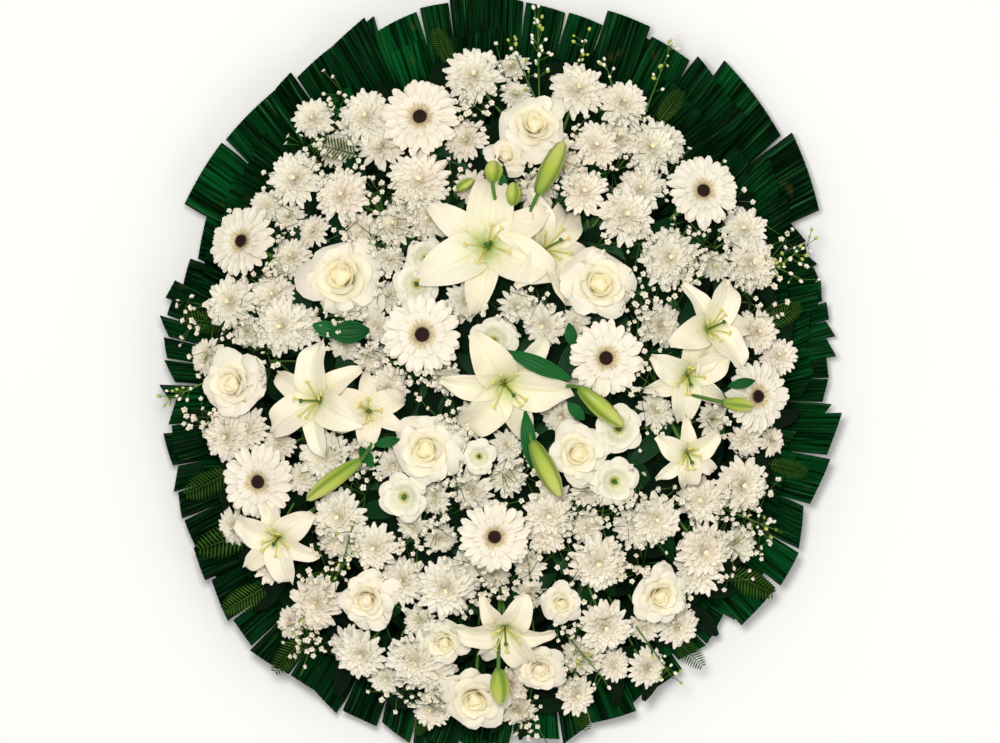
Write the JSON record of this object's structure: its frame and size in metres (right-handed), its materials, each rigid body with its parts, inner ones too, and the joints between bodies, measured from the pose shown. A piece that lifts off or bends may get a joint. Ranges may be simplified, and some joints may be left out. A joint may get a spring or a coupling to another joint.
{
  "type": "funeral wreath",
  "caption": "Oval funeral wreath of white gerberas, lilies, roses and chrysanthemums in a collar of pleated palm leaves, lying on its back on a slatted wooden frame.",
  "frame": {"origin": "centre of the wreath in plan, on the surface it lies on", "axes": "+X towards the wreath's right as it is faced, +Y towards its top, +Z out of its flowered face"},
  "size_m": [0.8662, 0.9728, 0.2705],
  "materials": {
    "slat_wood": "rough sawn pine slat",
    "plywood": "raw plywood",
    "floral_foam": "moist green floral foam",
    "palm_leaf": "waxy pleated leaf",
    "gerbera_petal": "matt petal",
    "lily_petal": "smooth waxy petal",
    "rose_petal": "satin petal",
    "lisianthus_petal": "thin soft petal",
    "chrysanthemum_petal": "matt ray petal"
  },
  "bodies": {
    "root": {"batten_left": "slat_wood", "batten_right": "slat_wood", "crossbar_upper": "slat_wood", "crossbar_lower": "slat_wood", "backing_board": "plywood", "gerbera_1": "gerbera_petal", "gerbera_2": "gerbera_petal", "gerbera_3": "gerbera_petal", "gerbera_4": "gerbera_petal", "gerbera_5": "gerbera_petal", "gerbera_6": "gerbera_petal", "gerbera_7": "gerbera_petal", "gerbera_8": "gerbera_petal", "lily_stem_1": "lily_petal", "lily_stem_2": "lily_petal", "lily_stem_3": "lily_petal", "lily_stem_4": "lily_petal", "lily_stem_5": "lily_petal", "lily_stem_6": "lily_petal", "rose_1": "rose_petal", "rose_2": "rose_petal", "rose_3": "rose_petal", "rose_4": "rose_petal", "rose_5": "rose_petal", "rose_6": "rose_petal", "rose_7": "rose_petal", "rose_8": "rose_petal", "rose_9": "rose_petal", "lisianthus_1": "lisianthus_petal", "lisianthus_2": "lisianthus_petal", "chrysanthemum_spray_1": "chrysanthemum_petal", "chrysanthemum_spray_2": "chrysanthemum_petal", "chrysanthemum_spray_3": "chrysanthemum_petal", "chrysanthemum_spray_4": "chrysanthemum_petal", "chrysanthemum_spray_5": "chrysanthemum_petal", "chrysanthemum_spray_6": "chrysanthemum_petal", "chrysanthemum_spray_7": "chrysanthemum_petal", "chrysanthemum_spray_8": "chrysanthemum_petal", "chrysanthemum_spray_9": "chrysanthemum_petal", "chrysanthemum_spray_10": "chrysanthemum_petal", "foam_upper_left": "floral_foam", "foam_upper_right": "floral_foam", "foam_lower_left": "floral_foam", "foam_lower_right": "floral_foam", "palm_leaf_1": "palm_leaf", "palm_leaf_2": "palm_leaf", "palm_leaf_3": "palm_leaf", "palm_leaf_4": "palm_leaf", "palm_leaf_5": "palm_leaf", "palm_leaf_6": "palm_leaf", "palm_leaf_7": "palm_leaf", "palm_leaf_8": "palm_leaf", "palm_leaf_9": "palm_leaf", "palm_leaf_10": "palm_leaf", "palm_leaf_11": "palm_leaf", "palm_leaf_12": "palm_leaf", "palm_leaf_13": "palm_leaf", "palm_leaf_14": "palm_leaf", "palm_leaf_15": "palm_leaf", "palm_leaf_16": "palm_leaf"}
  },
  "joints": []
}
